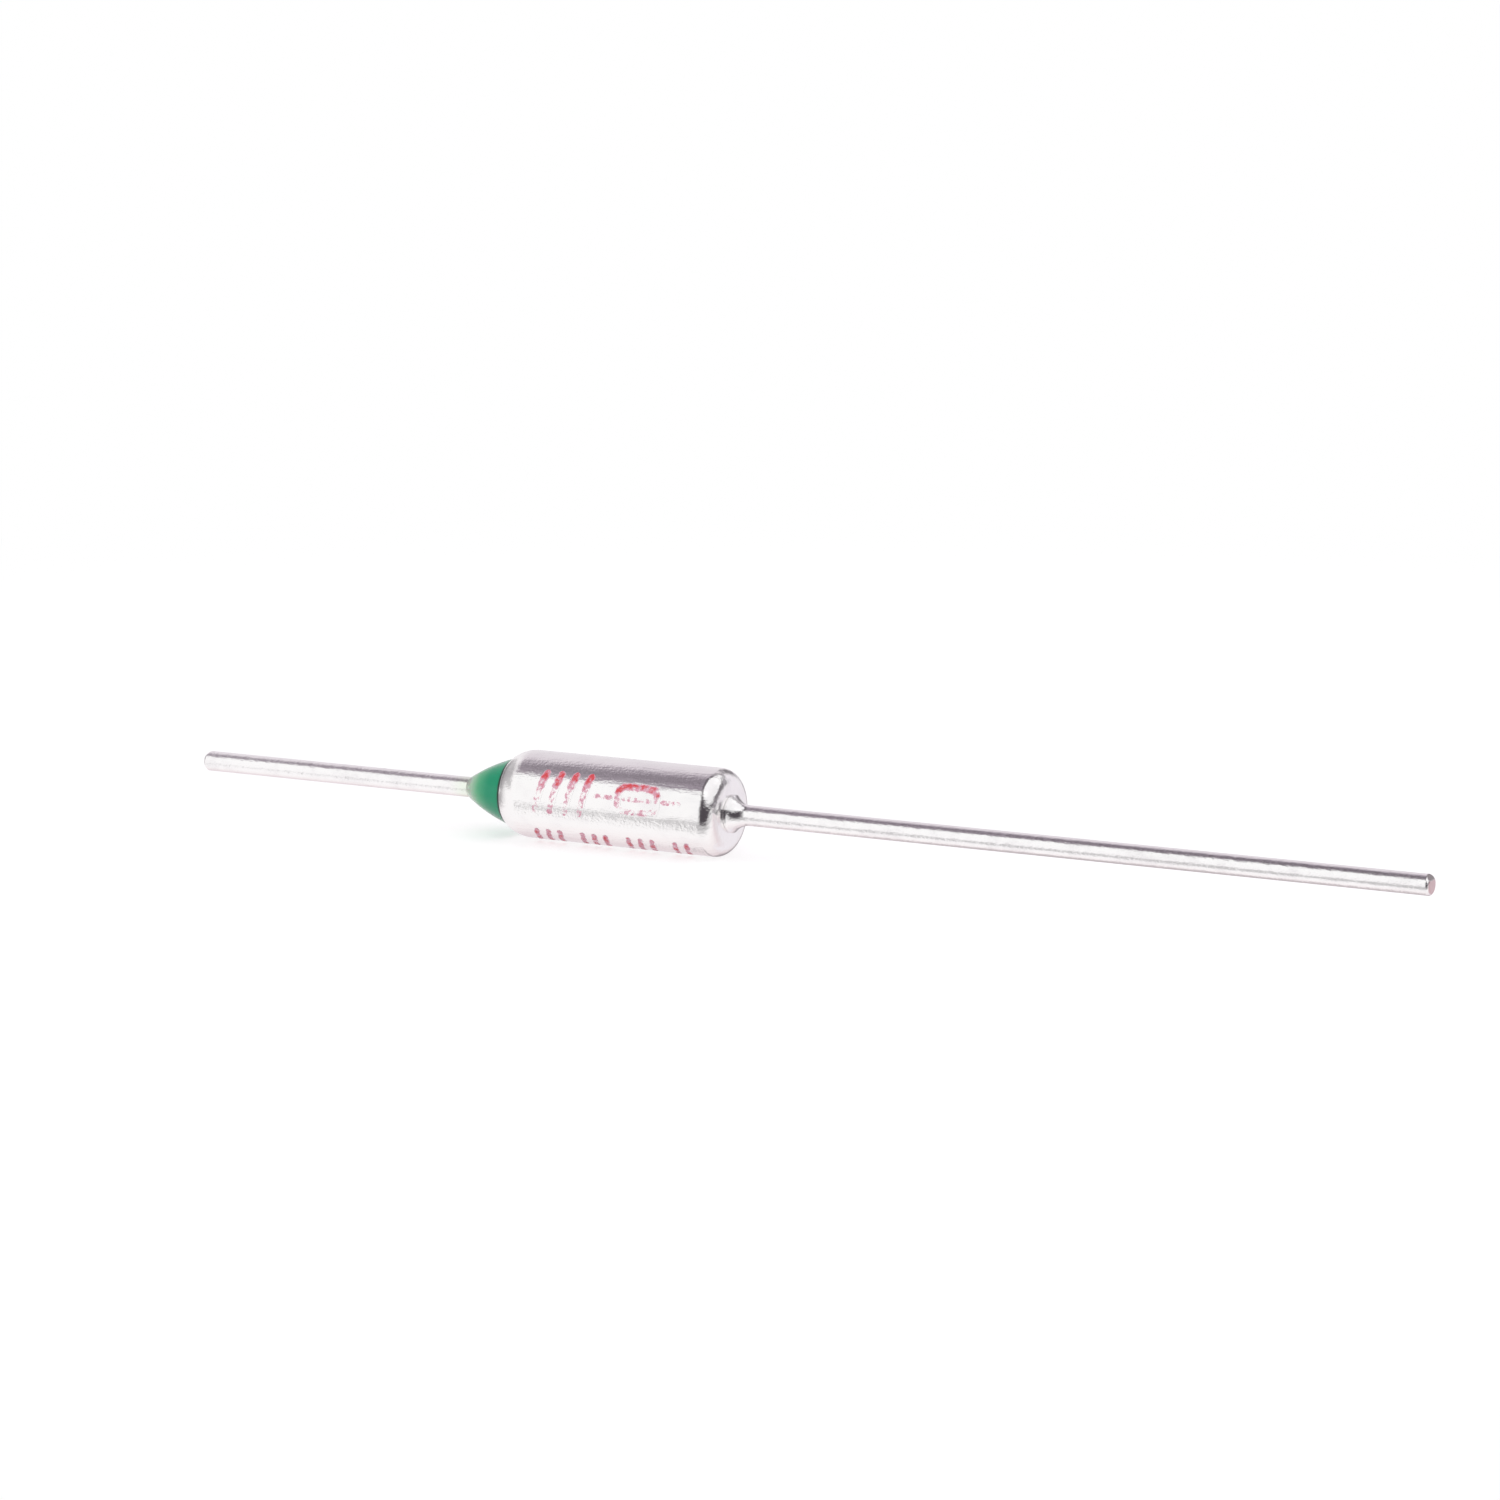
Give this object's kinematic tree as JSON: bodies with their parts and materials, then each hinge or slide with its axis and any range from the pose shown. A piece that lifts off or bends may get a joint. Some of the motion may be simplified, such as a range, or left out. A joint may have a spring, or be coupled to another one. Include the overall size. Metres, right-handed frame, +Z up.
{
  "type": "thermal fuse",
  "caption": "Axial thermal fuse: plated round case with a staked wire lead, an insulated wire lead leaving through a resin cone, and a melting pellet with a spring switch inside.",
  "frame": {"origin": "middle of the case's length, on its axis", "axes": "+X along the axis towards the long case lead, +Z up"},
  "size_m": [0.064, 0.0042, 0.0042],
  "materials": {
    "silver_plate": "bright silver plate over drawn brass, with stamped red ink",
    "tinned_wire": "bright tinned copper wire, bare copper at the cut tips",
    "green_resin": "cast green resin, glossy and slightly translucent",
    "bushing_ceramic": "pressed and fired, matte",
    "spring_wire": "drawn spring wire",
    "contact_plate": "bright silver plate over stamped copper alloy",
    "disc_brass": "stamped, satin",
    "pellet_compound": "pressed organic powder, matte"
  },
  "bodies": {
    "root": {"case": "silver_plate", "case_lead": "tinned_wire", "insulated_lead": "tinned_wire", "resin_seal": "green_resin", "ceramic_bushing": "bushing_ceramic", "trip_spring": "spring_wire", "star_contact": "contact_plate", "contact_disc": "disc_brass", "compression_spring": "spring_wire", "pellet_disc": "disc_brass", "thermal_pellet": "pellet_compound"}
  },
  "joints": []
}
